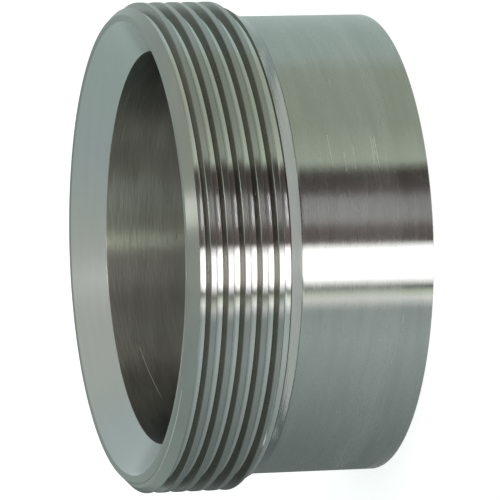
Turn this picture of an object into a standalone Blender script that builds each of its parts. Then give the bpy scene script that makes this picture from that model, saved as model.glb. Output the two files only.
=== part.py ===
"""Threaded bevel seat ferrule, the male half of a sanitary pipe union, turned in one piece.

A length of tube carries a wider threaded head. The nut of the union runs on the head's trapezoidal
thread and pulls a plain cone into the conical seat in its mouth. The part stands on its tube end:
Z is its axis, and the tube end's face lies at z = 0.
"""

import math

import bmesh
import bpy
from mathutils import Vector

NAME = "ferrule"
MM = 0.001

# Driving sizes
LENGTH = 46.7 * MM
TUBE_WALL = 6.3 * MM
HEAD_STEP = 2.85 * MM  # from the tube's outside out to the crests

THREAD_DIAMETER = 92.0 * MM
PITCH = 3.175 * MM  # 8 threads to the inch, right-handed
THREAD_DEPTH = 1.84 * MM
CREST_WIDTH = 0.36 * PITCH
FLANK_ANGLE = math.radians(14.5)
START_ANGLE = math.radians(225)  # from +X, where the groove's middle meets the front face's plane

HEAD_LENGTH = 17.6 * MM  # from the front face back to the last full crest
NOSE_CHAMFER = 2.2 * MM  # both ways, at 45 degrees
END_CHAMFER = 0.9 * MM  # both ways, behind the last crest
BACK_CONE_ANGLE = math.radians(30)  # between the cone's side and the axis
BACK_FILLET = 1.6 * MM

SEAT_ANGLE = math.radians(45)  # between the seat's side and the axis
LIP_WIDTH = 1.2 * MM  # the flat ring between seat and nose chamfer

LIP_EDGE = 0.25 * MM  # the radius on both edges of the lip
TUBE_EDGE = 0.2 * MM  # the break on both edges of the tube's end

# Fineness of the mesh
STEPS = 96  # round the axis, and for each turn of the thread
EDGE_SEGMENTS = 2
FILLET_SEGMENTS = 4
SHARP_ANGLE = math.radians(20)
WELD = 0.002 * MM

# Sizes that follow
THREAD_RADIUS = THREAD_DIAMETER / 2
ROOT_RADIUS = THREAD_RADIUS - THREAD_DEPTH
TUBE_RADIUS = THREAD_RADIUS - HEAD_STEP
BORE_RADIUS = TUBE_RADIUS - TUBE_WALL
NOSE_RADIUS = THREAD_RADIUS - NOSE_CHAMFER
MOUTH_RADIUS = NOSE_RADIUS - LIP_WIDTH
SEAT_DEPTH = (MOUTH_RADIUS - BORE_RADIUS) / math.tan(SEAT_ANGLE)
THREAD_END = LENGTH - HEAD_LENGTH
CONE_TOP_RADIUS = THREAD_RADIUS - END_CHAMFER
CONE_TOP = THREAD_END - END_CHAMFER
CONE_FOOT = CONE_TOP - (CONE_TOP_RADIUS - TUBE_RADIUS) / math.tan(BACK_CONE_ANGLE)


def clear_scene():
    for obj in list(bpy.data.objects):
        bpy.data.objects.remove(obj, do_unlink=True)


def new_collection(name):
    collection = bpy.data.collections.new(name)
    bpy.context.scene.collection.children.link(collection)
    return collection


def arc_points(before, corner, after, radius, segments):
    """Points of the arc that rounds a corner of the profile, from the side before it to the side after."""
    to_before = (before - corner).normalized()
    to_after = (after - corner).normalized()
    half_angle = to_before.angle(to_after) / 2
    start = corner + to_before * radius / math.tan(half_angle)
    end = corner + to_after * radius / math.tan(half_angle)
    middle = corner + (to_before + to_after).normalized() * radius / math.sin(half_angle)
    sweep = (start - middle).angle(end - middle)
    points = []
    for index in range(segments + 1):
        done = sweep * index / segments
        from_start = math.sin(sweep - done) / math.sin(sweep)
        from_end = math.sin(done) / math.sin(sweep)
        points.append(middle + (start - middle) * from_start + (end - middle) * from_end)
    return points


def rounded_profile(corners):
    """The closed profile, with an arc in place of each corner that has a radius.

    A corner is its radius from the axis, its height, its rounding radius and its number of segments.
    """
    points = [Vector((across, height)) for across, height, _, _ in corners]
    profile = []
    for index, (_, _, radius, segments) in enumerate(corners):
        before = points[index - 1]
        after = points[(index + 1) % len(points)]
        if segments:
            profile += arc_points(before, points[index], after, radius, segments)
        else:
            profile.append(points[index])
    return profile


def profile_object(name, profile, collection):
    """A closed outline of edges in the XZ plane, for a Screw modifier to turn."""
    mesh = bpy.data.meshes.new(name)
    points = [(across, 0, height) for across, height in profile]
    edges = [(index, (index + 1) % len(points)) for index in range(len(points))]
    mesh.from_pydata(points, edges, [])
    obj = bpy.data.objects.new(name, mesh)
    collection.objects.link(obj)
    return obj


def add_screw(obj, rise=0.0, turns=1):
    """Turns the outline round Z, once to close on itself or several times while it rises."""
    screw = obj.modifiers.new("Screw", "SCREW")
    screw.axis = "Z"
    screw.angle = 2 * math.pi
    screw.screw_offset = rise
    screw.iterations = turns
    screw.steps = STEPS
    screw.render_steps = STEPS
    screw.use_merge_vertices = rise == 0
    screw.merge_threshold = 0.00001


def bake(obj):
    """Replaces the outline with the mesh that the modifiers make of it."""
    bpy.context.view_layer.update()
    graph = bpy.context.evaluated_depsgraph_get()
    mesh = bpy.data.meshes.new_from_object(obj.evaluated_get(graph))
    obj.modifiers.clear()
    obj.data = mesh
    mesh.name = obj.name


def turned_body(collection):
    """The whole part before its thread is cut, down its outside, up its bore and out along its seat."""
    profile = rounded_profile([
        (NOSE_RADIUS, LENGTH, LIP_EDGE, EDGE_SEGMENTS),
        (THREAD_RADIUS, LENGTH - NOSE_CHAMFER, 0, 0),
        (THREAD_RADIUS, THREAD_END, 0, 0),
        (CONE_TOP_RADIUS, CONE_TOP, 0, 0),
        (TUBE_RADIUS, CONE_FOOT, BACK_FILLET, FILLET_SEGMENTS),
        (TUBE_RADIUS, 0, TUBE_EDGE, 1),
        (BORE_RADIUS, 0, TUBE_EDGE, 1),
        (BORE_RADIUS, LENGTH - SEAT_DEPTH, 0, 0),
        (MOUTH_RADIUS, LENGTH, LIP_EDGE, EDGE_SEGMENTS),
    ])
    body = profile_object(NAME, profile, collection)
    add_screw(body)
    return body


def groove_section():
    """The groove's section with the middle of its root at height 0, reaching out past the crests."""
    reach = THREAD_RADIUS + THREAD_DEPTH / 2
    root_width = PITCH - CREST_WIDTH - 2 * THREAD_DEPTH * math.tan(FLANK_ANGLE)
    mouth_width = root_width + 2 * (reach - ROOT_RADIUS) * math.tan(FLANK_ANGLE)
    return [
        (reach, mouth_width / 2),
        (reach, -mouth_width / 2),
        (ROOT_RADIUS, -root_width / 2),
        (ROOT_RADIUS, root_width / 2),
    ]


def close_ends(mesh):
    """Fills the two open ends of the coiled groove, and turns all its faces outwards."""
    shape = bmesh.new()
    shape.from_mesh(mesh)
    open_edges = [edge for edge in shape.edges if edge.is_boundary]
    bmesh.ops.holes_fill(shape, edges=open_edges, sides=len(groove_section()))
    bmesh.ops.recalc_face_normals(shape, faces=shape.faces)
    shape.to_mesh(mesh)
    shape.free()


def thread_cutter(collection):
    """The groove as a solid coil that starts over the tube and leaves through the nose chamfer."""
    top = LENGTH + PITCH / 2
    root_meets_cone = CONE_FOOT + (ROOT_RADIUS - TUBE_RADIUS) / math.tan(BACK_CONE_ANGLE)
    turns = math.ceil((top - root_meets_cone) / PITCH) + 1
    cutter = profile_object("thread_cutter", groove_section(), collection)
    add_screw(cutter, rise=PITCH, turns=turns)
    bake(cutter)
    close_ends(cutter.data)
    cutter.location.z = top - turns * PITCH
    cutter.rotation_euler.z = START_ANGLE + math.pi  # half a pitch up is half a turn on
    cutter.hide_render = True
    cutter.display_type = "WIRE"
    return cutter


def cut(body, cutter):
    boolean = body.modifiers.new("Thread", "BOOLEAN")
    boolean.operation = "DIFFERENCE"
    boolean.solver = "EXACT"
    boolean.object = cutter


def weld(mesh):
    """Makes one of the points that body and cutter share along the crests' edges."""
    shape = bmesh.new()
    shape.from_mesh(mesh)
    bmesh.ops.remove_doubles(shape, verts=shape.verts, dist=WELD)
    shape.to_mesh(mesh)
    shape.free()


def steel():
    material = bpy.data.materials.new("turned_stainless")
    material.use_nodes = True
    shader = material.node_tree.nodes["Principled BSDF"]
    shader.inputs["Base Color"].default_value = (0.52, 0.53, 0.51, 1)
    shader.inputs["Metallic"].default_value = 1.0
    shader.inputs["Roughness"].default_value = 0.32
    return material


def main():
    clear_scene()
    parts = new_collection(NAME)
    cutters = new_collection("cutters")
    ferrule = turned_body(parts)
    cut(ferrule, thread_cutter(cutters))
    bake(ferrule)
    weld(ferrule.data)
    ferrule.data.shade_smooth()
    ferrule.data.set_sharp_from_angle(angle=SHARP_ANGLE)
    ferrule.data.materials.append(steel())


main()
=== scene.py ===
# %% [markdown]
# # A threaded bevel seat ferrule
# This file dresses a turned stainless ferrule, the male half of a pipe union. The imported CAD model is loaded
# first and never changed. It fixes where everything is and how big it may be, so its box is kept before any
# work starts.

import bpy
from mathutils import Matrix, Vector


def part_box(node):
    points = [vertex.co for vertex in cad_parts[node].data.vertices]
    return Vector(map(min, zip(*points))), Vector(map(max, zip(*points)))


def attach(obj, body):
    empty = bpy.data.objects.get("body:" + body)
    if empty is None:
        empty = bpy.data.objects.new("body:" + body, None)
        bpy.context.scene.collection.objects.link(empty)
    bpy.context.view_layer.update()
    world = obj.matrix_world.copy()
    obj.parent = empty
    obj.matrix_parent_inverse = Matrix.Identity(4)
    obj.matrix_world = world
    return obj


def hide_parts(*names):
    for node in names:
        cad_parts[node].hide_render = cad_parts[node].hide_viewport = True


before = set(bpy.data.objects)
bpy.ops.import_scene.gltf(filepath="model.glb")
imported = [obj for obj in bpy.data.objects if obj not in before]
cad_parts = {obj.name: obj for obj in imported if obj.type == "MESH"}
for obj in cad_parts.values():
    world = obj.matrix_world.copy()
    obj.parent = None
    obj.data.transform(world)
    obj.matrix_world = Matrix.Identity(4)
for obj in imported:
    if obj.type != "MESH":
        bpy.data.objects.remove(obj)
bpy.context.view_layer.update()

# %% Modules
import math

import bmesh
import bpy
import numpy as np
from mathutils import Matrix, Vector

# %% [markdown]
# ## The sizes
# The ferrule is one turned piece. A tube carries a wider head with a trapezoidal thread, and the head's
# mouth is a 45 degree seat. These are the same sizes as in the CAD model, in metres. The two that the
# model's box shows are measured from it, so that they can't drift apart.

# %% Sizes of the turned piece
MM = 0.001
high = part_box("ferrule")[1]
LENGTH = high.z
THREAD_RADIUS = high.x

PITCH = 3.175 * MM
THREAD_DEPTH = 1.84 * MM
CREST_WIDTH = 0.36 * PITCH
FLANK_ANGLE = math.radians(14.5)
START_ANGLE = math.radians(225)  # from +X, where the groove's middle meets the front face

HEAD_LENGTH = 17.6 * MM  # from the front face back to the last full crest
HEAD_STEP = 2.85 * MM  # from the tube's outside out to the crests
TUBE_WALL = 6.3 * MM
NOSE_CHAMFER = 2.2 * MM
END_CHAMFER = 0.9 * MM
BACK_CONE_ANGLE = math.radians(30)
LIP_WIDTH = 1.2 * MM

ROOT_RADIUS = THREAD_RADIUS - THREAD_DEPTH
TUBE_RADIUS = THREAD_RADIUS - HEAD_STEP
BORE_RADIUS = TUBE_RADIUS - TUBE_WALL
NOSE_RADIUS = THREAD_RADIUS - NOSE_CHAMFER
MOUTH_RADIUS = NOSE_RADIUS - LIP_WIDTH
SEAT_FOOT = LENGTH - (MOUTH_RADIUS - BORE_RADIUS)
THREAD_END = LENGTH - HEAD_LENGTH
CONE_TOP = THREAD_END - END_CHAMFER
CONE_TOP_RADIUS = THREAD_RADIUS - END_CHAMFER
CONE_FOOT = CONE_TOP - (CONE_TOP_RADIUS - TUBE_RADIUS) / math.tan(BACK_CONE_ANGLE)
print("head", round((LENGTH - CONE_FOOT) / MM, 2), "mm long, tube", round(CONE_FOOT / MM, 2), "mm")

# %% [markdown]
# ## The camera
# The photograph was taken with a long lens, from a little in front of the threaded end, and with the part
# on its side. The part stands on its tube end here, so the camera rolls instead: the part's axis runs across
# the picture. The place and the lens come from fitting circles of known size to the photograph's edges.

# %% Camera
PICTURE = 500
SENSOR_WIDTH = 36
FOCAL_PIXELS = 4780.46
DISTANCE = 0.90256
LOOK_DOWN = 0.27949  # in radians
ROLL = -0.02905
AIM = Vector((0, 0, 0.023))
AIM_PIXEL = (246.789, 244.896)  # where the picture shows the point that is aimed at


def camera_axes():
    """The camera's own right, up and forward directions, in the part's frame."""
    forward = Vector((0, math.cos(LOOK_DOWN), -math.sin(LOOK_DOWN)))
    towards_base = -Vector((0, math.sin(LOOK_DOWN), math.cos(LOOK_DOWN)))
    sideways = Vector((1, 0, 0))
    right = towards_base * math.cos(ROLL) + sideways * math.sin(ROLL)
    up = -towards_base * math.sin(ROLL) + sideways * math.cos(ROLL)
    return right, up, forward


def make_camera():
    """The camera, placed so that the aim falls on its pixel of the picture."""
    right, up, forward = camera_axes()
    across = (AIM_PIXEL[0] - PICTURE / 2) / FOCAL_PIXELS * DISTANCE
    above = -(AIM_PIXEL[1] - PICTURE / 2) / FOCAL_PIXELS * DISTANCE
    place = AIM - forward * DISTANCE - right * across - up * above
    data = bpy.data.cameras.new("photo_view")
    data.sensor_width = SENSOR_WIDTH
    data.lens = FOCAL_PIXELS / PICTURE * SENSOR_WIDTH
    data.clip_start = 0.01
    data.clip_end = 20.0
    camera = bpy.data.objects.new("photo_view", data)
    turn = Matrix((right, up, -forward)).transposed().to_4x4()
    camera.matrix_world = Matrix.Translation(place) @ turn
    bpy.context.scene.collection.objects.link(camera)
    bpy.context.scene.camera = camera
    return camera


camera = make_camera()
print("lens", round(camera.data.lens, 1), "mm, camera at", [round(v, 3) for v in camera.location])

# %% [markdown]
# ## Rounded corners of a section
# Every real edge has a small radius, and on bright metal it is the edge that catches the light. A turned
# shape is drawn as half of its section, so its edges are rounded there, as short arcs between two lines.

# %% Arcs and rounded lines


def arc(before, corner, after, radius, segments):
    """Points that round one corner of the section, from the side before it to the side after."""
    to_before = (before - corner).normalized()
    to_after = (after - corner).normalized()
    half = to_before.angle(to_after) / 2
    middle = corner + (to_before + to_after).normalized() * radius / math.sin(half)
    start = corner + to_before * radius / math.tan(half)
    end = corner + to_after * radius / math.tan(half)
    sweep = (start - middle).angle(end - middle)
    points = []
    for step in range(segments + 1):
        done = sweep * step / segments
        share = (start - middle) * math.sin(sweep - done) + (end - middle) * math.sin(done)
        points.append(middle + share / math.sin(sweep))
    return points


def rounded(corners):
    """An open line through corners of (radius, height).

    A corner that is rounded also carries the radius of its arc and the number of segments.
    """
    spots = [Vector(corner[:2]) for corner in corners]
    line = [spots[0]]
    for index in range(1, len(corners) - 1):
        size = corners[index][2:]
        if size:
            line += arc(spots[index - 1], spots[index], spots[index + 1], size[0], size[1])
        else:
            line.append(spots[index])
    return line + [spots[-1]]


# %% [markdown]
# ## The section outside the thread
# A lathe first turns the blank, then cuts the thread into it. The first line below is the blank's outside,
# from the nose down to the tube's end. The second is everything that the thread never touches: the end, the
# bore, the seat and the lip. The two meet on the flat lip and on the flat end, a little in from the edge.

# %% Lines of the blank
LIP_EDGE = 0.25 * MM
TUBE_EDGE = 0.2 * MM
BACK_FILLET = 1.6 * MM
SEAT_EDGE = 0.3 * MM  # where the seat meets the bore
MEET = 0.6 * MM  # how far in from the outer edge the two lines meet

outside = rounded([
    (NOSE_RADIUS - MEET, LENGTH),
    (NOSE_RADIUS, LENGTH, LIP_EDGE, 3),
    (THREAD_RADIUS, LENGTH - NOSE_CHAMFER, 0.12 * MM, 3),
    (THREAD_RADIUS, THREAD_END, 0.1 * MM, 3),
    (CONE_TOP_RADIUS, CONE_TOP, 0.2 * MM, 2),
    (TUBE_RADIUS, CONE_FOOT, BACK_FILLET, 8),
    (TUBE_RADIUS, 0, TUBE_EDGE, 3),
    (TUBE_RADIUS - MEET, 0),
])
inside = rounded([
    (TUBE_RADIUS - MEET, 0),
    (BORE_RADIUS, 0, TUBE_EDGE, 3),
    (BORE_RADIUS, SEAT_FOOT, SEAT_EDGE, 3),
    (MOUTH_RADIUS, LENGTH, LIP_EDGE, 3),
    (NOSE_RADIUS - MEET, LENGTH),
])
print(len(outside), "points outside and", len(inside), "inside")

# %% [markdown]
# ## The thread
# The groove is a trapezoid that winds round the head, one pitch for each turn. At any angle round the axis
# the section is the blank's line or the groove's line, whichever is nearer the axis. So each column of the
# mesh is worked out exactly from two lines, and the thread runs out through the nose and the back cone just
# as a real one does, with no Boolean and no slivers. A real groove isn't quite a trapezoid. Its floor rises
# a hair towards the flanks and meets them in a small fillet, and the crests' edges carry a small facet.
# These shapes of about a tenth of a millimetre draw the thin lines of light along the thread.

# %% The groove's line
CREST_FACET = 0.12 * MM
ROOT_FILLET = 0.12 * MM
ROOT_RISE = 0.085 * MM
ROOT_FLAT = 0.16  # the share of the root that stays level


def groove_half():
    """Points of (distance along the axis, radius) from the middle of a root to the middle of a crest."""
    root_half = (PITCH - CREST_WIDTH) / 2 - THREAD_DEPTH * math.tan(FLANK_ANGLE)
    facet_start = (PITCH - CREST_WIDTH) / 2 - CREST_FACET * math.tan(FLANK_ANGLE)
    return rounded([
        (0, ROOT_RADIUS),
        (root_half * ROOT_FLAT, ROOT_RADIUS),
        (root_half + ROOT_RISE * math.tan(FLANK_ANGLE), ROOT_RADIUS + ROOT_RISE, ROOT_FILLET, 3),
        (facet_start, THREAD_RADIUS - CREST_FACET),
        (facet_start + CREST_FACET, THREAD_RADIUS),
        (PITCH / 2, THREAD_RADIUS),
    ])


def groove_line(middle, bottom, top):
    """Heights and radii of the thread's line from bottom to top, with the middle of a groove at middle."""
    half = [(point.x, point.y) for point in groove_half()]
    one_turn = [(-across, radius) for across, radius in reversed(half)] + half[1:]
    first = math.floor((bottom - middle) / PITCH) - 1
    last = math.ceil((top - middle) / PITCH) + 1
    heights = []
    radii = []
    for turn in range(first, last + 1):
        for across, radius in one_turn[:-1]:
            heights.append(middle + turn * PITCH + across)
            radii.append(radius)
    return np.array(heights), np.array(radii)


print(len(groove_half()), "points from the middle of a root to the middle of a crest")

# %% [markdown]
# ## One column of the head
# The nearer of two lines is found interval by interval. Where they cross, a point is added, so the edge of
# the run-out is sharp. Points in the middle of a straight stretch are dropped. Each stretch also remembers
# which line it came from, because the groove gets its own finish later.

# %% The nearer of two lines
STRAIGHT = 0.0003 * MM  # a point that lies less than this off its neighbours' line is dropped
TOO_CLOSE = 4 * STRAIGHT


def nearer(heights_a, radii_a, heights_b, radii_b):
    """The lower envelope of two lines, going down, as (radius, height, True where line b is nearer)."""
    top = heights_a.max()
    bottom = heights_a.min()
    within = heights_b[(heights_b > bottom) & (heights_b < top)]
    heights = np.unique(np.concatenate([heights_a, within]))[::-1]
    order = np.argsort(heights_a)
    a = np.interp(heights, heights_a[order], radii_a[order])
    b = np.interp(heights, heights_b, radii_b)
    points = []
    for index, height in enumerate(heights):
        points.append((min(a[index], b[index]), height, b[index] < a[index]))
        if index + 1 == len(heights):
            break
        gap = a[index] - b[index]
        next_gap = a[index + 1] - b[index + 1]
        if gap * next_gap < 0:
            share = gap / (gap - next_gap)
            crossing = height + (heights[index + 1] - height) * share
            radius = a[index] + (a[index + 1] - a[index]) * share
            points.append((radius, crossing, next_gap > 0))
    return points


def off_line(point, before, after):
    """How far a point lies from the line through its neighbours."""
    along = (after[0] - before[0], after[1] - before[1])
    to_point = (point[0] - before[0], point[1] - before[1])
    length = math.hypot(*along)
    return abs(along[0] * to_point[1] - along[1] * to_point[0]) / max(length, 1e-12)


def without_idle_points(points):
    """The points that bend the line, without those that lie straight between or close to others."""
    kept = [points[0]]
    for index in range(1, len(points) - 1):
        if math.dist(points[index][:2], kept[-1][:2]) < TOO_CLOSE:
            continue
        if off_line(points[index], kept[-1], points[index + 1]) > STRAIGHT:
            kept.append(points[index])
    return kept + [points[-1]]


# %% [markdown]
# ## Columns into a skin
# Neighbouring columns differ a little, because the groove has moved up by a hair, so they don't always have
# the same number of points. They are joined like a zip: at each step the shorter of the two possible
# crossing edges wins. That gives clean triangles and keeps every edge of the thread in one line.

# %% Zip two columns together


def zip_columns(a, b, first_a, first_b):
    """Triangles between two columns of points, each with the two ends of the stretch that it lies on."""
    faces = []
    i = 0
    j = 0
    while i < len(a) - 1 or j < len(b) - 1:
        down_a = math.dist(a[i + 1][:2], b[j][:2]) if i < len(a) - 1 else math.inf
        down_b = math.dist(a[i][:2], b[j + 1][:2]) if j < len(b) - 1 else math.inf
        if down_a <= down_b:
            faces.append(((first_a + i, first_a + i + 1, first_b + j), a[i], a[i + 1]))
            i += 1
        else:
            faces.append(((first_a + i, first_b + j + 1, first_b + j), b[j], b[j + 1]))
            j += 1
    return faces


# %% [markdown]
# ## Which finish a stretch gets
# One mesh carries nine finishes, so each face needs the number of its own. The number follows from where the
# face lies on the section: how far from the axis, how high up, and whether it is in the groove.

# %% Which finish a stretch gets
TUBE, CREST, ROOT, FLANK, FACET, CHAMFER, CONE, SEAT, BORE = range(9)
CREST_ZONE = 0.001 * MM
ROOT_ZONE = 0.13 * MM
END_ZONE = 0.3 * MM
LIP_ZONE = 0.1 * MM


def finish_outside(start, end):
    """The finish of a stretch between two points of (radius, height, True in the groove)."""
    radius = (start[0] + end[0]) / 2
    height = (start[1] + end[1]) / 2
    in_groove = start[2]
    if radius > THREAD_RADIUS - CREST_ZONE:
        return CREST
    if in_groove and radius > THREAD_RADIUS - CREST_FACET:
        return FACET
    if in_groove:
        return ROOT if radius < ROOT_RADIUS + ROOT_ZONE else FLANK
    if height < CONE_FOOT:
        return TUBE
    return CONE if height < THREAD_END else CHAMFER


def finish_inside(start, end):
    """The finish of a stretch of the end, the bore, the seat or the lip."""
    height = (start.y + end.y) / 2
    if height < END_ZONE:
        return TUBE
    if height < SEAT_FOOT:
        return BORE
    return SEAT if height < LENGTH - LIP_ZONE else CHAMFER


print("nine finishes, from", TUBE, "for the tube to", BORE, "for the bore")

# %% [markdown]
# ## Build the ferrule
# The head's columns are worked out one by one round the axis, and each is closed by the same line through
# the end, the bore, the seat and the lip. Triangles zip the outside together, and plain quads do the rest,
# because the inside is the same all the way round.

# %% Build the ferrule
COLUMNS = 480
inside_line = [outside[-1]] + inside[1:-1] + [outside[0]]


def head_column(angle):
    """The outside of the part at one angle, from the nose down to the end."""
    heights = np.array([point.y for point in outside[1:-1]])
    radii = np.array([point.x for point in outside[1:-1]])
    middle = LENGTH + PITCH * (angle - START_ANGLE) / (2 * math.pi)
    groove_heights, groove_radii = groove_line(middle, CONE_FOOT, LENGTH)
    reached = groove_heights > CONE_FOOT - PITCH  # further down, the tube lies below the groove's root
    column = nearer(heights, radii, groove_heights[reached], groove_radii[reached])
    return without_idle_points(column)


def all_columns():
    """The points of the whole mesh, and for each column its first point's number and its outside."""
    vertices = []
    columns = []
    for step in range(COLUMNS):
        angle = 2 * math.pi * step / COLUMNS
        column = head_column(angle)
        columns.append((len(vertices), column))
        line = [(radius, height) for radius, height, _ in column] + [tuple(point) for point in inside_line]
        vertices += [(r * math.cos(angle), r * math.sin(angle), z) for r, z in line]
    return vertices, columns


def way_inside(first, column):
    """The numbers of a column's points from the outside's foot, through the bore, back to the nose."""
    foot = first + len(column) - 1
    return list(range(foot, foot + len(inside_line) + 1)) + [first]


def all_faces(columns):
    """The faces between neighbouring columns, and the number of each one's finish."""
    faces = []
    slots = []
    for step, (first, column) in enumerate(columns):
        next_first, next_column = columns[(step + 1) % COLUMNS]
        for corners, start, end in zip_columns(column, next_column, first, next_first):
            faces.append(corners)
            slots.append(finish_outside(start, end))
        here = way_inside(first, column)
        there = way_inside(next_first, next_column)
        spots = [Vector(column[-1][:2])] + inside_line + [Vector(column[0][:2])]
        for index in range(len(here) - 1):
            faces.append((here[index], here[index + 1], there[index + 1], there[index]))
            slots.append(finish_inside(spots[index], spots[index + 1]))
    return faces, slots


vertices, columns = all_columns()
faces, slots = all_faces(columns)
mesh = bpy.data.meshes.new("turned_ferrule")
mesh.from_pydata(vertices, [], faces)
mesh.polygons.foreach_set("material_index", slots)
mesh.validate()
ferrule = bpy.data.objects.new("turned_ferrule", mesh)
bpy.context.scene.collection.objects.link(ferrule)
mesh.calc_loop_triangles()
print(len(mesh.loop_triangles), "triangles in", COLUMNS, "columns")

# %% [markdown]
# ## Smooth skin, crisp edges
# Smooth shading hides the columns, and edges that turn by more than 28 degrees stay sharp. A Weighted Normal
# modifier then lets the large faces decide the normals, so the flats of the crests reflect as flats and only
# the small arcs bend the light.

# %% Shade the ferrule
SHARP_ANGLE = math.radians(28)

mesh.shade_smooth()
mesh.set_sharp_from_angle(angle=SHARP_ANGLE)
flats = ferrule.modifiers.new("flats_stay_flat", "WEIGHTED_NORMAL")
flats.mode = "FACE_AREA"
flats.weight = 100
flats.keep_sharp = True

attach(ferrule, "root")
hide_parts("ferrule")

shape = bmesh.new()
shape.from_mesh(mesh)
open_edges = sum(not edge.is_manifold for edge in shape.edges)
print("open or doubled edges:", open_edges, " volume, cm3:", round(shape.calc_volume() * 1e6, 3))
shape.free()

# %% [markdown]
# ## Small helpers for materials
# A material is a small graph of nodes. These helpers add a node, join two sockets and open a node group with
# named inputs and outputs, so that the cells below read as a list of steps.

# %% Node helpers


def add(tree, kind, place, **settings):
    node = tree.nodes.new(kind)
    node.location = place
    for name, value in settings.items():
        setattr(node, name, value)
    return node


def maths(tree, operation, place, *values):
    """A Math node. A value is a number or a socket."""
    node = add(tree, "ShaderNodeMath", place, operation=operation)
    for socket, value in zip(node.inputs, values):
        if isinstance(value, (int, float)):
            socket.default_value = value
        else:
            tree.links.new(value, socket)
    return node.outputs[0]


def new_group(name, inputs, outputs):
    """A node group with named inputs (name, default) and outputs (name, kind)."""
    group = bpy.data.node_groups.new(name, "ShaderNodeTree")
    for title, default in inputs:
        socket = group.interface.new_socket(name=title, in_out="INPUT", socket_type="NodeSocketFloat")
        socket.default_value = default
    for title, kind in outputs:
        group.interface.new_socket(name=title, in_out="OUTPUT", socket_type=kind)
    start = add(group, "NodeGroupInput", (-1200, 0))
    end = add(group, "NodeGroupOutput", (900, 0))
    return group, start.outputs, end.inputs


# %% [markdown]
# ## Turned rings
# The tool leaves a fine spiral of ridges, so close that it looks like rings round the axis. A noise that is
# squeezed along the section and drawn out round the axis gives them. The group makes its own coordinates for
# it: two numbers that only tell the direction from the axis, and one that runs along the section, the height
# plus a share of the radius, so it works on the tube, the flat end and the slopes alike. There is no seam,
# because the direction is kept as a point on a circle and never as an angle.

# %% Group: place on a turned surface
RADIUS_SHARE = 0.6


def turned_place():
    """A group that gives a place which changes slowly round the axis and fast along the section."""
    group, given, out = new_group(
        "turned_place",
        [("Round", 10.0), ("Along", 2000.0), ("Lean", 0.0)],
        [("Place", "NodeSocketVector")],
    )
    link = group.links.new
    place = add(group, "ShaderNodeTexCoord", (-1200, -300))
    parts = add(group, "ShaderNodeSeparateXYZ", (-1000, -300))
    link(place.outputs["Object"], parts.inputs[0])
    flat = add(group, "ShaderNodeCombineXYZ", (-800, -420))
    link(parts.outputs["X"], flat.inputs["X"])
    link(parts.outputs["Y"], flat.inputs["Y"])
    radius = add(group, "ShaderNodeVectorMath", (-640, -520), operation="LENGTH")
    link(flat.outputs[0], radius.inputs[0])
    on_circle = add(group, "ShaderNodeVectorMath", (-640, -300), operation="NORMALIZE")
    link(flat.outputs[0], on_circle.inputs[0])
    spread = add(group, "ShaderNodeVectorMath", (-440, -300), operation="SCALE")
    link(on_circle.outputs[0], spread.inputs[0])
    link(given["Round"], spread.inputs["Scale"])
    from_axis = radius.outputs["Value"]
    length = maths(group, "MULTIPLY_ADD", (-440, -500), from_axis, RADIUS_SHARE, parts.outputs["Z"])
    leaning = maths(group, "MULTIPLY_ADD", (-260, -500), parts.outputs["X"], given["Lean"], length)
    run = add(group, "ShaderNodeCombineXYZ", (0, -500))
    link(maths(group, "MULTIPLY", (-100, -500), leaning, given["Along"]), run.inputs["Z"])
    total = add(group, "ShaderNodeVectorMath", (300, -300), operation="ADD")
    link(spread.outputs[0], total.inputs[0])
    link(run.outputs[0], total.inputs[1])
    link(total.outputs[0], out["Place"])
    return group


place_group = turned_place()
print("group", place_group.name, "is ready")

# %% [markdown]
# ## Three noises make the finish
# Fine rings and somewhat coarser waves add up to a height for the bump. The waves also change on the way
# round, so that no ring is perfect. A third, slow noise gives streaks that tint the metal and change its
# roughness, because no pass of a tool cuts quite like the last.

# %% Group: turned rings
WAVES_PER_RING = 0.45
STREAKS_PER_RING = 0.12
WAVE_HEIGHT = 10.0  # against a fine ring's 1


def noise_round(group, spot, round_count, along_count, detail, roughness=0.5):
    """A noise on the turned surface. The counts are sockets or numbers, one feature each."""
    where = add(group, "ShaderNodeGroup", (spot[0] - 250, spot[1]), node_tree=place_group)
    for name, value in (("Round", round_count), ("Along", along_count)):
        if isinstance(value, (int, float)):
            where.inputs[name].default_value = value
        else:
            group.links.new(value, where.inputs[name])
    noise = add(group, "ShaderNodeTexNoise", spot, noise_dimensions="3D", normalize=True)
    noise.inputs["Scale"].default_value = 1.0
    noise.inputs["Detail"].default_value = detail
    noise.inputs["Roughness"].default_value = roughness
    group.links.new(where.outputs["Place"], noise.inputs["Vector"])
    return noise.outputs["Fac"]


def turned_rings():
    """A group that gives the height for the bump, and streaks of about 0 to 1 for colour and roughness."""
    group, given, out = new_group(
        "turned_rings",
        [("Rings per Metre", 5000.0), ("Waves Round", 8.0)],
        [("Height", "NodeSocketFloat"), ("Streaks", "NodeSocketFloat")],
    )
    rings_along = given["Rings per Metre"]
    fine = noise_round(group, (-300, 200), 1.5, rings_along, 2.0)
    waves_along = maths(group, "MULTIPLY", (-800, -100), rings_along, WAVES_PER_RING)
    waves = noise_round(group, (-300, -100), given["Waves Round"], waves_along, 2.0, 0.6)
    streaks_along = maths(group, "MULTIPLY", (-800, -400), rings_along, STREAKS_PER_RING)
    slow = noise_round(group, (-300, -400), 3.0, streaks_along, 3.0, 0.6)
    both = maths(group, "MULTIPLY_ADD", (200, 100), waves, WAVE_HEIGHT, fine)
    group.links.new(both, out["Height"])
    group.links.new(maths(group, "MULTIPLY_ADD", (200, -400), slow, 2.0, -0.5), out["Streaks"])
    return group


rings = turned_rings()
given_out = [item.name for item in rings.interface.items_tree if item.in_out == "OUTPUT"]
print("group", rings.name, "puts out", given_out)
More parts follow.
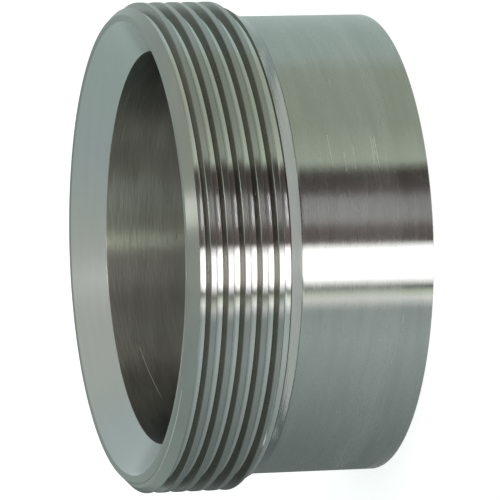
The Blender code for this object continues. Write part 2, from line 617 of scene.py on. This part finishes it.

# %% [markdown]
# ## Ticks
# Chips and other parts leave short scratches that run with the rings. Their bright colour, given in the
# finish, is a painted glint. Each cell of a Voronoi pattern holds one point, and the cells are drawn out round
# the axis, so the spot near each point is a thin line. A random number of the cell keeps only a few of them.

# %% Group: ticks
TICK_SIZE = 0.16  # of a cell


def ticks():
    """A group that gives 1 on a tick and 0 elsewhere."""
    group, given, out = new_group(
        "ticks",
        [("Round", 6.0), ("Along", 2400.0), ("Lean", 0.02), ("Kept", 0.1)],
        [("Mask", "NodeSocketFloat")],
    )
    link = group.links.new
    where = add(group, "ShaderNodeGroup", (-800, 0), node_tree=place_group)
    for name in ("Round", "Along", "Lean"):
        link(given[name], where.inputs[name])
    cells = add(group, "ShaderNodeTexVoronoi", (-500, 0), feature="F1")
    cells.inputs["Scale"].default_value = 1.0
    link(where.outputs["Place"], cells.inputs["Vector"])
    thin = maths(group, "LESS_THAN", (-200, 100), cells.outputs["Distance"], TICK_SIZE)
    number = add(group, "ShaderNodeSeparateColor", (-300, -150))
    link(cells.outputs["Color"], number.inputs[0])
    chosen = maths(group, "LESS_THAN", (-100, -150), number.outputs[0], given["Kept"])
    link(maths(group, "MULTIPLY", (100, 0), thin, chosen), out["Mask"])
    return group


tick_group = ticks()
print("group", tick_group.name, "is ready")

# %% [markdown]
# ## Single marks
# The scratches of the photograph have places of their own. A scratch is where the surface meets a thin flat
# slice, and a small ball round its middle gives it its two ends. The slice may lean a little, as a scratch
# does that isn't quite square to the axis.

# %% Group: one mark


def one_mark():
    """A group that gives 1 on one scratch and 0 elsewhere."""
    group = bpy.data.node_groups.new("one_mark", "ShaderNodeTree")
    for title, kind in (("Middle", "NodeSocketVector"), ("Across", "NodeSocketVector"),
                        ("Half Width", "NodeSocketFloat"), ("Reach", "NodeSocketFloat")):
        group.interface.new_socket(name=title, in_out="INPUT", socket_type=kind)
    group.interface.new_socket(name="Mask", in_out="OUTPUT", socket_type="NodeSocketFloat")
    link = group.links.new
    given = add(group, "NodeGroupInput", (-900, 0)).outputs
    place = add(group, "ShaderNodeTexCoord", (-900, 300))
    away = add(group, "ShaderNodeVectorMath", (-650, 200), operation="SUBTRACT")
    link(place.outputs["Object"], away.inputs[0])
    link(given["Middle"], away.inputs[1])
    depth = add(group, "ShaderNodeVectorMath", (-400, 200), operation="DOT_PRODUCT")
    link(away.outputs[0], depth.inputs[0])
    link(given["Across"], depth.inputs[1])
    far = add(group, "ShaderNodeVectorMath", (-400, 0), operation="LENGTH")
    link(away.outputs[0], far.inputs[0])
    off = maths(group, "ABSOLUTE", (-200, 200), depth.outputs["Value"])
    in_slice = maths(group, "LESS_THAN", (0, 200), off, given["Half Width"])
    in_ball = maths(group, "LESS_THAN", (0, 0), far.outputs["Value"], given["Reach"])
    both = maths(group, "MULTIPLY", (200, 100), in_slice, in_ball)
    link(both, add(group, "NodeGroupOutput", (400, 0)).inputs["Mask"])
    return group


mark_group = one_mark()
print("group", mark_group.name, "is ready")


def marks_mask(tree, first_mask, marks):
    """Adds marks to a mask. A mark is angle, radius, height, half its length, half its width and its lean.

    The angle is in degrees and the lean is a slope. The rest is in millimetres.
    """
    mask = first_mask
    for index, (angle, radius, height, half_length, half_width, lean) in enumerate(marks):
        a = math.radians(angle)
        middle = (math.sin(a) * radius * MM, -math.cos(a) * radius * MM, height * MM)
        sideways = Vector((math.cos(a), math.sin(a), 0))
        node = add(tree, "ShaderNodeGroup", (-1300, -200 * index), node_tree=mark_group)
        node.inputs["Middle"].default_value = middle
        node.inputs["Across"].default_value = (Vector((0, 0, 1)) - sideways * lean).normalized()
        node.inputs["Half Width"].default_value = half_width * MM
        node.inputs["Reach"].default_value = half_length * MM
        mask = maths(tree, "MAXIMUM", (-1100, -200 * index), mask, node.outputs["Mask"])
    return mask


# %% [markdown]
# ## Turned stainless steel
# Turned metal doesn't shine like a polished ball. Its rings spread each reflection along the axis and leave
# it sharp round the axis, which draws straight bands of light from end to end. In the Principled shader that
# is Anisotropic, with a tangent that runs round Z, turned by a quarter. The finishes share the groups and
# differ in colour, roughness and the depth of the rings. A tick or a mark gets a brighter colour, a painted
# glint on the scratch, is a little rougher than the steel around it, and it is cut in by the bump.

# %% Build one finish
# painted highlight: ticks and marks get this bright colour as a glint of light on each scratch
SCRATCH_GLINT_COLOUR = (0.75, 0.75, 0.73, 1)
MARK_ROUGHER = 0.1
STREAK_ROUGHER = 0.06
QUARTER_TURN = 0.25


def turned_steel(
    name, colour, roughness, anisotropy, rings_per_metre, ring_depth, ticks_kept=0.0, streaks=0.07, marks=()
):
    """A steel finish. Colour and roughness vary by the streaks, and ring_depth is the bump's, in metres."""
    material = bpy.data.materials.new(name)
    material.use_nodes = True
    tree = material.node_tree
    link = tree.links.new
    shader = tree.nodes["Principled BSDF"]
    shader.inputs["Metallic"].default_value = 1.0
    shader.inputs["Anisotropic"].default_value = anisotropy
    shader.inputs["Anisotropic Rotation"].default_value = QUARTER_TURN
    tangent = add(tree, "ShaderNodeTangent", (-300, -500), direction_type="RADIAL", axis="Z")
    link(tangent.outputs[0], shader.inputs["Tangent"])

    lines = add(tree, "ShaderNodeGroup", (-1000, 0), node_tree=rings)
    lines.inputs["Rings per Metre"].default_value = rings_per_metre
    few = add(tree, "ShaderNodeGroup", (-1000, -300), node_tree=tick_group)
    few.inputs["Kept"].default_value = ticks_kept
    mask = marks_mask(tree, few.outputs["Mask"], marks)

    tint = add(tree, "ShaderNodeMix", (-500, 200), data_type="RGBA")
    tint.inputs["A"].default_value = (*[value * (1 - streaks) for value in colour], 1)
    tint.inputs["B"].default_value = (*[min(value * (1 + streaks), 1) for value in colour], 1)
    link(lines.outputs["Streaks"], tint.inputs["Factor"])
    bright = add(tree, "ShaderNodeMix", (-250, 200), data_type="RGBA")
    bright.inputs["B"].default_value = SCRATCH_GLINT_COLOUR
    link(tint.outputs["Result"], bright.inputs["A"])
    link(mask, bright.inputs["Factor"])
    link(bright.outputs["Result"], shader.inputs["Base Color"])

    least = roughness - STREAK_ROUGHER / 2
    rougher = maths(tree, "MULTIPLY_ADD", (-700, -100), lines.outputs["Streaks"], STREAK_ROUGHER, least)
    marked = maths(tree, "MULTIPLY_ADD", (-500, -100), mask, MARK_ROUGHER, rougher)
    link(marked, shader.inputs["Roughness"])

    depth = maths(tree, "MULTIPLY_ADD", (-700, -350), mask, -1.0, lines.outputs["Height"])
    bump = add(tree, "ShaderNodeBump", (-300, -300))
    bump.inputs["Strength"].default_value = 1.0
    bump.inputs["Distance"].default_value = ring_depth
    link(depth, bump.inputs["Height"])
    link(bump.outputs[0], shader.inputs["Normal"])
    return material


# %% [markdown]
# ## One finish for each surface
# Each surface of a turned part was cut by its own pass of the tool, so each has its own finish. The tube and
# the bore are coarse, the seat is fine because it has to seal, and the groove's floor is the brightest: its
# pale colour is painted light for the deep groove, which gets less light. The facets' dark colour is painted
# shade that dims their highlights, and the bore's dark colour is painted shade for the inside of the tube.
# The marks are placed one by one: short scratches on the tube, and one long scratch in the bore.

# %% The nine finishes
# short scratches on the tube, each with a painted glint in its bright colour
tube_scratch_glints = [
    (22.5, 43.15, 18.2, 3.2, 0.07, 0.05), (19.75, 43.15, 15.6, 1.9, 0.08, 0.02),
    (20.75, 43.15, 13.8, 2.3, 0.06, 0.0), (22.5, 43.15, 10.2, 2.8, 0.08, 0.02),
    (22.0, 43.15, 9.4, 3.0, 0.07, 0.04), (23.4, 43.15, 9.8, 1.5, 0.07, 0.0),
]
bore_marks = [(221.5, 36.85, 35.35, 6.6, 0.04, -0.144)]
finishes = [
    turned_steel("turned_tube", (0.52, 0.525, 0.505), 0.27, 1.0, 4500, 2.7e-6, 0.02, marks=tube_scratch_glints),
    turned_steel("thread_crests", (0.42, 0.42, 0.41), 0.27, 1.0, 6000, 3e-6),
    # painted light: the roots' pale colour stands in for light that the deep groove doesn't get
    turned_steel("thread_roots", (0.70, 0.70, 0.68), 0.20, 1.0, 6000, 2e-6),
    turned_steel("thread_flanks", (0.35, 0.34, 0.31), 0.28, 0.9, 6000, 2e-6),
    # painted shade: the facets' dark colour dims the highlights on them
    turned_steel("crest_facets", (0.25, 0.26, 0.23), 0.30, 0.0, 6000, 3e-7),
    turned_steel("nose_chamfer", (0.355, 0.36, 0.335), 0.30, 0.9, 6000, 2e-6),
    turned_steel("back_cone", (0.312, 0.324, 0.312), 0.12, 0.0, 6000, 1e-6),
    turned_steel("fine_seat", (0.50, 0.51, 0.50), 0.24, 0.4, 7000, 6e-7, streaks=0.02),
    # painted shade: the bore's dark colour stands in for the shade inside the tube
    turned_steel("bored_inside", (0.27, 0.26, 0.235), 0.30, 1.0, 4000, 5e-6, streaks=0.1, marks=bore_marks),
]
for finish in finishes:
    mesh.materials.append(finish)
print("finishes:", [finish.name for finish in finishes])

# %% [markdown]
# ## The floor
# A plain pale floor, wide enough to fill every view. The light alone would leave it grey. An emission that
# Light Path gives only to camera, reflection and transmission rays lifts it to white, so the lamps stay
# plain, the steel shows the same floor that the camera sees, and the soft shadow stays.

# %% Floor
FLOOR_SIZE = 20.0
FLOOR_LIFT = 0.62
FLOOR_COLOUR = (0.88, 0.88, 0.88, 1)


def stage_material(name):
    """An empty material with its output node, for things that aren't part of the object."""
    material = bpy.data.materials.new(name)
    material.use_nodes = True
    tree = material.node_tree
    tree.nodes.clear()
    return material, tree, add(tree, "ShaderNodeOutputMaterial", (600, 0))


def pale_floor():
    material, tree, out = stage_material("pale_floor")
    paper = add(tree, "ShaderNodeBsdfDiffuse", (0, 100))
    paper.inputs["Color"].default_value = FLOOR_COLOUR
    lift = add(tree, "ShaderNodeEmission", (0, -100))
    path = add(tree, "ShaderNodeLightPath", (-900, -200))
    rays = path.outputs
    seen = maths(tree, "MAXIMUM", (-700, -200), rays["Is Camera Ray"], rays["Is Glossy Ray"])
    seen = maths(tree, "MAXIMUM", (-500, -200), seen, rays["Is Transmission Ray"])
    tree.links.new(maths(tree, "MULTIPLY", (-300, -200), seen, FLOOR_LIFT), lift.inputs["Strength"])
    both = add(tree, "ShaderNodeAddShader", (300, 0))
    tree.links.new(paper.outputs[0], both.inputs[0])
    tree.links.new(lift.outputs[0], both.inputs[1])
    tree.links.new(both.outputs[0], out.inputs["Surface"])
    return material


half = FLOOR_SIZE / 2
floor_mesh = bpy.data.meshes.new("floor")
floor_corners = [(-half, -half, 0), (half, -half, 0), (half, half, 0), (-half, half, 0)]
floor_mesh.from_pydata(floor_corners, [], [(0, 1, 2, 3)])
floor_mesh.materials.append(pale_floor())
floor = bpy.data.objects.new("floor", floor_mesh)
bpy.context.scene.collection.objects.link(floor)
print("floor", FLOOR_SIZE, "m square")

# %% [markdown]
# ## A paper tent
# A shiny part shows its surroundings, so a photographer stands it in a tube of paper that glows softly, with
# a bright strip beside the camera and dark strips next to it. Those strips are the bands on the steel. The
# tent here is such a tube. Only reflections see it, so it neither hides the part nor shades the floor.
# Directions round the axis are in degrees: 0 is the camera's side, and 90 is above the part in the picture.
# The bands are written by the place on the tube that shows them, and each point of the paper carries that
# place as its mark. Low collars between tent and tube carry the bands on down to the floor, or the foot of
# the tube would show the floor's white. A second bright strip stands on the far side, for views from there.

# %% Tent
TENT_RADIUS = 57 * MM
TENT_HEIGHT = 48 * MM
ABOVE_FLOOR = 0.02 * MM
FAR_STRIP = (-122, -107)
COLLARS = [(43.3, 0.35), (43.6, 0.7), (44.2, 1.3), (45.2, 2.0), (46.5, 2.6), (48.0, 3.0), (53.0, 4.6)]
BRIGHTEST = 3.0
COOL = (0.82, 1.0, 0.955)
DEEP_COOL = (0.855, 1.0, 0.985)
GREENISH = (0.88, 1.0, 0.82)
WARM = (1.22, 1.0, 0.95)
MAUVE = (1.02, 1.0, 1.0)
WHITE = (1.0, 1.0, 1.0)
bands = [
    (-180, 0.60, COOL), (-121, 0.35, COOL), (-120, 2.4, WHITE), (-109, 2.4, WHITE), (-108, 0.16, MAUVE),
    (-82, 0.20, DEEP_COOL), (-60, 0.28, DEEP_COOL), (-45, 0.37, DEEP_COOL), (-25, 0.55, DEEP_COOL),
    (-15.9, 0.50, DEEP_COOL), (-15.0, 1.1, WHITE), (-14.2, 1.25, WHITE), (-13.4, 0.95, GREENISH),
    (-11.8, 0.85, GREENISH), (-11.2, 0.12, MAUVE), (-10.2, 0.14, MAUVE), (-9.5, 3.0, WHITE),
    (-1.6, 3.0, WHITE), (-1.1, 0.1, WARM),
    (3.5, 0.14, WARM), (6.0, 0.19, MAUVE), (9.5, 0.15, MAUVE), (12.4, 0.08, WARM), (17.5, 0.06, WARM),
    (19.8, 0.63, GREENISH), (30, 0.48, GREENISH), (47, 0.49, GREENISH), (53, 0.60, COOL), (75, 0.64, COOL),
    (180, 0.60, COOL),
]


def tent_azimuth(part_angle, radius):
    """Where on a round sheet the tube's outside looks, part_angle away from the camera's side."""
    if abs(part_angle) > 90:  # the far side, where the rest of the sheet is shared out evenly
        edge = tent_azimuth(90, radius)
        return math.copysign(edge + (180 - edge) * (abs(part_angle) - 90) / 90, part_angle)
    a = math.radians(part_angle)
    here = Vector((math.sin(a), -math.cos(a))) * TUBE_RADIUS
    away = Vector((math.sin(2 * a), -math.cos(2 * a)))
    inward = here.dot(away)
    reach = -inward + math.sqrt(inward**2 + radius**2 - TUBE_RADIUS**2)
    there = here + away * reach
    return math.degrees(math.atan2(there.x, -there.y))


def round_sheet(radius, bottom, top, azimuth_of, steps=144, span=180):
    """Points and faces of a sheet, with the mark that each point carries for the colour bands."""
    points = []
    marks = []
    for step in range(steps + 1):
        mark = -span + 2 * span * step / steps
        azimuth = math.radians(azimuth_of(mark))
        across = (radius * math.sin(azimuth), -radius * math.cos(azimuth))
        points += [(*across, bottom), (*across, top)]
        marks += [mark, mark]
    faces = [(2 * step, 2 * step + 2, 2 * step + 3, 2 * step + 1) for step in range(steps)]
    return points, faces, marks


def band_ramp(tree, place, share, colours, brightest):
    """A colour ramp from bands of (degrees, level, tint), where a share of 0.5 is 0 degrees."""
    ramp = add(tree, "ShaderNodeValToRGB", place)
    tree.links.new(share, ramp.inputs["Fac"])
    stops = ramp.color_ramp.elements
    while len(stops) < len(colours):
        stops.new(0.5)
    for stop, (degrees, level, tint) in zip(stops, colours):
        stop.position = degrees / 360 + 0.5
        stop.color = (*[value * level / brightest for value in tint], 1)
    return ramp.outputs["Color"]


def glowing_paper(name, colours, brightest):
    """A material that only glows, coloured by the band mark of each point."""
    material, tree, out = stage_material(name)
    seen = add(tree, "ShaderNodeAttribute", (-700, 0), attribute_name="band")
    share = maths(tree, "MULTIPLY_ADD", (-450, 0), seen.outputs["Fac"], 1 / 360, 0.5)
    glow = add(tree, "ShaderNodeEmission", (200, 0))
    glow.inputs["Strength"].default_value = brightest
    colour = band_ramp(tree, (-200, 0), share, colours, brightest)
    tree.links.new(colour, glow.inputs["Color"])
    tree.links.new(glow.outputs[0], out.inputs["Surface"])
    return material


def reflected_only(name, sheets, material):
    """One object of several sheets that only reflections see."""
    points = []
    faces = []
    marks = []
    for more_points, more_faces, more_marks in sheets:
        faces += [[index + len(points) for index in face] for face in more_faces]
        points += more_points
        marks += more_marks
    paper = bpy.data.meshes.new(name)
    paper.from_pydata(points, [], faces)
    paper.attributes.new("band", "FLOAT", "POINT").data.foreach_set("value", marks)
    paper.materials.append(material)
    sheet = bpy.data.objects.new(name, paper)
    bpy.context.scene.collection.objects.link(sheet)
    sheet.visible_camera = False
    sheet.visible_diffuse = False
    sheet.visible_shadow = False
    sheet.visible_volume_scatter = False
    return sheet


def tent_sheet(radius, top):
    return round_sheet(radius, ABOVE_FLOOR, top, lambda mark: tent_azimuth(mark, radius))


wall_glow = glowing_paper("tent_paper", bands, BRIGHTEST)
tent = reflected_only("paper_tent", [tent_sheet(TENT_RADIUS, TENT_HEIGHT)], wall_glow)
collar_bands = [band for band in bands if not FAR_STRIP[0] < band[0] < FAR_STRIP[1]]
collar_glow = glowing_paper("collar_paper", collar_bands, BRIGHTEST)
collar_sheets = [tent_sheet(radius * MM, top * MM) for radius, top in COLLARS]
collars = reflected_only("tent_collars", collar_sheets, collar_glow)
print(tent.name, "has", len(bands), "bands and", collars.name, len(collar_bands))

# %% [markdown]
# ## Paper for the bore
# The far wall of the bore looks back past the camera and down into the tube. Turned rings spread what it
# shows along the axis, so a small arch of paper over the mouth still reaches it and draws the faint bands
# inside. A second arch with one dim level stands just behind it, so that the near lip shows that one and not
# the bright band.

# %% Paper for the bore
ARCH_RADIUS = 30 * MM
ARCH_BOTTOM = LENGTH + 2.5 * MM
ARCH_TOP = LENGTH + 20 * MM
ARCH_SPAN = 46
BACK_GAP = 0.5 * MM
BORE_BRIGHTEST = 16.0
bore_bands = [
    (-46, 0.2, WARM), (-43, 0.4, WARM), (-39, 0.7, WARM), (-36, 1.3, WHITE), (-21, 1.2, WHITE),
    (-19, 0.9, WARM), (-12, 0.9, WHITE), (-11, 2.2, WHITE), (0.2, 2.3, WHITE), (1.0, 13.5, GREENISH),
    (3.0, 14.5, GREENISH), (3.8, 3.2, GREENISH), (10.5, 3.3, GREENISH), (12.5, 3.9, COOL),
    (20.0, 3.7, COOL), (21.5, 1.9, GREENISH), (26.3, 1.7, GREENISH), (27.3, 0.9, GREENISH),
    (36, 1.3, WHITE), (42, 1.6, WHITE), (46, 0.6, WARM),
]
BACK_LEVEL = 0.5


def bore_azimuth(part_angle, radius):
    """Where on a round sheet the bore's far wall looks, part_angle away from the middle of that wall."""
    a = math.radians(part_angle)
    here = Vector((math.sin(a), math.cos(a))) * BORE_RADIUS
    away = Vector((-math.sin(2 * a), -math.cos(2 * a)))
    inward = here.dot(away)
    reach = -inward + math.sqrt(inward**2 + radius**2 - BORE_RADIUS**2)
    there = here + away * reach
    return math.degrees(math.atan2(there.x, -there.y))


def arch_sheet(radius):
    return round_sheet(
        radius, ARCH_BOTTOM, ARCH_TOP, lambda mark: bore_azimuth(mark, radius), span=ARCH_SPAN
    )


bore_glow = glowing_paper("bore_paper", bore_bands, BORE_BRIGHTEST)
bore_paper = reflected_only("bore_paper", [arch_sheet(ARCH_RADIUS)], bore_glow)
back_bands = [(-ARCH_SPAN, BACK_LEVEL, COOL), (ARCH_SPAN, BACK_LEVEL, COOL)]
back_glow = glowing_paper("card_back", back_bands, BRIGHTEST)
card_back = reflected_only("card_back", [arch_sheet(ARCH_RADIUS + BACK_GAP)], back_glow)
print(bore_paper.name, "has", len(bore_bands), "bands and", card_back.name, "stands behind it")

# %% [markdown]
# ## Paper under the bore
# Through the bore the far wall would also show the white floor, which the photograph's bore doesn't. A disc
# of dim paper, just smaller than the bore and just above the floor, hides the floor from reflections there. It
# is painted shade: reflections show its dim glow in place of the shaded floor inside the tube.

# %% Paper under the bore
DISC_EDGE = 0.3 * MM  # how much smaller the disc is than the bore
DISC_HEIGHT = 0.03 * MM
DISC_LEVEL = 0.28

spokes = round_sheet(BORE_RADIUS - DISC_EDGE, DISC_HEIGHT, DISC_HEIGHT, lambda mark: mark, steps=48)
rim = spokes[0][::2][:-1]
disc = (rim, [list(range(len(rim)))], [0] * len(rim))
# painted shade: the disc's dim glow stands in for the shade on the floor inside the tube
under_glow = glowing_paper("painted_bore_shade", [(-1, DISC_LEVEL, WHITE), (1, DISC_LEVEL, WHITE)], BRIGHTEST)
painted_bore_shade = reflected_only("painted_bore_shade", [disc], under_glow)
print(painted_bore_shade.name, "has", len(rim), "corners")

# %% [markdown]
# ## The lamps
# Two lamps do what the paper can't. A small one overhead makes the bright spots on the nose chamfer and on
# the crests' facets, and a soft shadow on the floor. A thin one stands low beside the camera and draws the
# white lines along the foot of each groove. It is thin and strong because a lamp behind the tent is found
# only by rays that aim at it.

# %% Lamps
LAMP_AIM = Vector((0, 0, 0.03))


def direction(azimuth, elevation):
    """The way to a lamp, in degrees round the axis from the camera's side and up from the floor."""
    a = math.radians(azimuth)
    e = math.radians(elevation)
    return Vector((math.sin(a) * math.cos(e), -math.cos(a) * math.cos(e), math.sin(e)))


def soft_lamp(name, azimuth, elevation, distance, width, height, radiance):
    """A flat lamp that faces the part, its width along X. Its power follows from how bright it looks."""
    data = bpy.data.lights.new(name, "AREA")
    data.shape = "RECTANGLE"
    data.size = width
    data.size_y = height
    data.energy = radiance * math.pi * width * height
    lamp = bpy.data.objects.new(name, data)
    towards = direction(azimuth, elevation)
    wide = (Vector((1, 0, 0)) - towards * towards.x).normalized()
    turn = Matrix((wide, towards.cross(wide), towards)).transposed().to_4x4()
    lamp.matrix_world = Matrix.Translation(LAMP_AIM + towards * distance) @ turn
    lamp.visible_camera = False
    bpy.context.scene.collection.objects.link(lamp)
    return lamp


lamps = [
    soft_lamp("small_overhead", 27.2, 65.9, 0.33, 0.052, 0.025, 8.8),
    soft_lamp("low_panel", 15.0, 1.5, 0.5, 0.12, 0.004, 48.0),
]
for lamp in lamps:
    print(lamp.name, round(lamp.data.energy * 1000), "mW")

# %% [markdown]
# ## The sky
# The faces that look up, seat and chamfers, show what is above the tent. So the world carries a few soft
# bands round the axis, from a gradient of the direction. Being nearly even, it also lights the floor evenly.

# %% World
GREY = (0.94, 1.0, 0.92)
sky_bands = [
    (-180, 0.48, COOL), (-160, 0.60, COOL), (-120, 0.59, COOL), (-95, 0.58, DEEP_COOL),
    (-60, 0.62, DEEP_COOL), (-52, 0.61, GREY), (0, 0.65, GREY), (24, 0.65, GREY), (29, 0.74, GREY),
    (49, 0.74, GREY), (54, 0.68, GREY), (112, 0.69, GREY), (117, 0.61, GREY), (121, 0.68, DEEP_COOL),
    (165, 0.69, DEEP_COOL), (180, 0.48, COOL),
]
world = bpy.data.worlds.new("soft_studio")
bpy.context.scene.world = world
world.use_nodes = True
sky = world.node_tree
background = sky.nodes["Background"]
background.inputs["Strength"].default_value = BRIGHTEST
towards_sky = add(sky, "ShaderNodeTexCoord", (-1300, 0))
parts = add(sky, "ShaderNodeSeparateXYZ", (-1100, 0))
sky.links.new(towards_sky.outputs["Generated"], parts.inputs[0])
turned = add(sky, "ShaderNodeCombineXYZ", (-700, 0))
sky.links.new(maths(sky, "MULTIPLY", (-900, 100), parts.outputs["Y"], -1.0), turned.inputs["X"])
sky.links.new(parts.outputs["X"], turned.inputs["Y"])
azimuth = add(sky, "ShaderNodeTexGradient", (-500, 0), gradient_type="RADIAL")
sky.links.new(turned.outputs[0], azimuth.inputs[0])
sky_colour = band_ramp(sky, (-300, 0), azimuth.outputs["Fac"], sky_bands, BRIGHTEST)
sky.links.new(sky_colour, background.inputs["Color"])
print("the sky has", len(sky_bands), "bands")

# %% [markdown]
# ## Colour
# Standard shows a colour as it was written.

# %% Finish
bpy.context.scene.view_settings.view_transform = "Standard"
